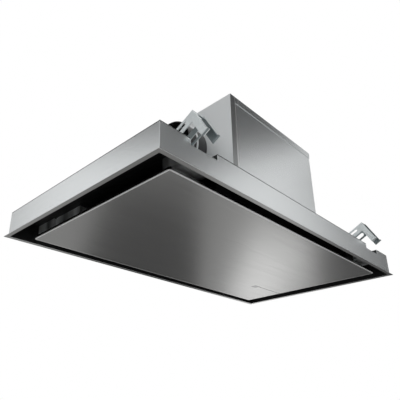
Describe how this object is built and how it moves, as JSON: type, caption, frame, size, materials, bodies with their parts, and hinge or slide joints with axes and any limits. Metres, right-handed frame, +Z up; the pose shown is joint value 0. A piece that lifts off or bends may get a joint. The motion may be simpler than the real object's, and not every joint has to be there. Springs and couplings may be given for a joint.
{
  "type": "ceiling range hood",
  "caption": "Flush ceiling range hood: trim frame with a hinged perimeter-suction panel, grease filters, a blower box with a side duct outlet and screw-drawn ceiling claws.",
  "frame": {"origin": "middle of the object box on the underside of the trim flange", "axes": "+X along the long side to the right, +Y away from the picture's viewer, +Z up into the ceiling"},
  "size_m": [0.9, 0.5356, 0.218],
  "materials": {
    "casing_steel": "satin galvanised sheet",
    "deck_steel": "galvanised sheet",
    "black_steel": "matt black powder coat",
    "screw_steel": "zinc-plated steel",
    "black_plastic": "moulded, fine grain",
    "rubber": "matt",
    "fan_aluminium": "mill finish",
    "motor_steel": "grey lacquer",
    "board": "solder resist",
    "terminal_plastic": "moulded",
    "filter_mesh": "layered expanded mesh",
    "panel_steel": "fine brushed",
    "window": "infrared-clear smoke",
    "zinc_steel": "bright zinc"
  },
  "bodies": {
    "casing": {"trim_frame": "casing_steel", "top_plate": "deck_steel", "filter_tray": "black_steel", "deck_screws": "screw_steel", "box_front": "casing_steel", "box_back": "casing_steel", "box_left": "casing_steel", "box_right": "casing_steel", "box_lid": "casing_steel", "lid_screws": "screw_steel", "duct_spigot": "black_plastic", "spigot_gasket": "rubber", "flap_pin": "screw_steel", "blower_lower": "black_plastic", "blower_upper": "black_plastic", "blower_feet": "rubber", "blower_screws": "screw_steel", "inlet_ring": "black_plastic", "motor_body": "motor_steel", "motor_bracket": "deck_steel", "motor_grommets": "rubber", "capacitor": "fan_aluminium", "control_box": "deck_steel", "control_cover": "deck_steel", "circuit_board": "board", "terminal_block": "terminal_plastic", "cable_gland": "black_plastic", "filter_frame_left": "fan_aluminium", "filter_frame_right": "fan_aluminium", "filter_mesh_left": "filter_mesh", "filter_mesh_right": "filter_mesh", "hinge_brackets": "zinc_steel", "hinge_pins": "screw_steel", "catch_magnets": "black_plastic", "clamp_pockets": "deck_steel", "clamp_guides": "deck_steel"},
    "panel": {"panel_face": "panel_steel", "panel_liner": "black_steel", "receiver_window": "window", "receiver_strip": "black_plastic", "hinge_leaves": "zinc_steel", "catch_plates": "zinc_steel"},
    "rotor": {"impeller": "fan_aluminium", "motor_shaft": "screw_steel"},
    "flap_near": {"flap_near": "black_plastic"},
    "flap_far": {"flap_far": "black_plastic"},
    "latch_left": {"filter_latch_left": "black_plastic"},
    "latch_right": {"filter_latch_right": "black_plastic"},
    "claw_near_left": {"claw_near_left": "zinc_steel", "nut_near_left": "zinc_steel"},
    "screw_near_left": {"screw_near_left": "screw_steel"},
    "claw_near_right": {"claw_near_right": "zinc_steel", "nut_near_right": "zinc_steel"},
    "screw_near_right": {"screw_near_right": "screw_steel"},
    "claw_far_left": {"claw_far_left": "zinc_steel", "nut_far_left": "zinc_steel"},
    "screw_far_left": {"screw_far_left": "screw_steel"},
    "claw_far_right": {"claw_far_right": "zinc_steel", "nut_far_right": "zinc_steel"},
    "screw_far_right": {"screw_far_right": "screw_steel"}
  },
  "joints": [
    {"name": "panel_hinge", "type": "hinge", "parent": "casing", "child": "panel", "pos_m": [0, 0.21, 0.012], "axis": [1, 0, 0], "range_deg": [0, 85]},
    {"name": "impeller_spin", "type": "hinge", "parent": "casing", "child": "rotor", "pos_m": [-0.12, -0.052, 0.1], "axis": [0, 0, 1], "continuous": true},
    {"name": "flap_near_hinge", "type": "hinge", "parent": "casing", "child": "flap_near", "pos_m": [-0.2561, -0.1195, 0.122], "axis": [0, 0, 1], "range_deg": [-75, 0], "stiffness_Nm_per_rad": 0.02},
    {"name": "flap_far_hinge", "type": "hinge", "parent": "casing", "child": "flap_far", "pos_m": [-0.2561, -0.1195, 0.122], "axis": [0, 0, 1], "range_deg": [0, 75], "stiffness_Nm_per_rad": 0.02},
    {"name": "latch_left_slide", "type": "slide", "parent": "casing", "child": "latch_left", "axis": [0, 1, 0], "range_m": [0, 0.006], "stiffness_N_per_m": 150, "springref_m": -0.004},
    {"name": "latch_right_slide", "type": "slide", "parent": "casing", "child": "latch_right", "axis": [0, 1, 0], "range_m": [0, 0.006], "stiffness_N_per_m": 150, "springref_m": -0.004},
    {"name": "screw_near_left_turn", "type": "hinge", "parent": "casing", "child": "screw_near_left", "pos_m": [-0.343, -0.195, 0.05], "axis": [0, 0, 1], "range_deg": [0, 11520]},
    {"name": "claw_near_left_slide", "type": "slide", "parent": "casing", "child": "claw_near_left", "axis": [0, 0, 1], "range_m": [-0.032, 0]},
    {"name": "screw_near_right_turn", "type": "hinge", "parent": "casing", "child": "screw_near_right", "pos_m": [0.337, -0.195, 0.05], "axis": [0, 0, 1], "range_deg": [0, 11520]},
    {"name": "claw_near_right_slide", "type": "slide", "parent": "casing", "child": "claw_near_right", "axis": [0, 0, 1], "range_m": [-0.032, 0]},
    {"name": "screw_far_left_turn", "type": "hinge", "parent": "casing", "child": "screw_far_left", "pos_m": [-0.337, 0.195, 0.05], "axis": [0, 0, 1], "range_deg": [0, 11520]},
    {"name": "claw_far_left_slide", "type": "slide", "parent": "casing", "child": "claw_far_left", "axis": [0, 0, 1], "range_m": [-0.032, 0]},
    {"name": "screw_far_right_turn", "type": "hinge", "parent": "casing", "child": "screw_far_right", "pos_m": [0.343, 0.195, 0.05], "axis": [0, 0, 1], "range_deg": [0, 11520]},
    {"name": "claw_far_right_slide", "type": "slide", "parent": "casing", "child": "claw_far_right", "axis": [0, 0, 1], "range_m": [-0.032, 0]}
  ],
  "couplings": [
    {"joint": "screw_near_left_turn", "follows": "claw_near_left_slide", "rad_per_m": -6283.2},
    {"joint": "screw_near_right_turn", "follows": "claw_near_right_slide", "rad_per_m": -6283.2},
    {"joint": "screw_far_left_turn", "follows": "claw_far_left_slide", "rad_per_m": -6283.2},
    {"joint": "screw_far_right_turn", "follows": "claw_far_right_slide", "rad_per_m": -6283.2}
  ]
}
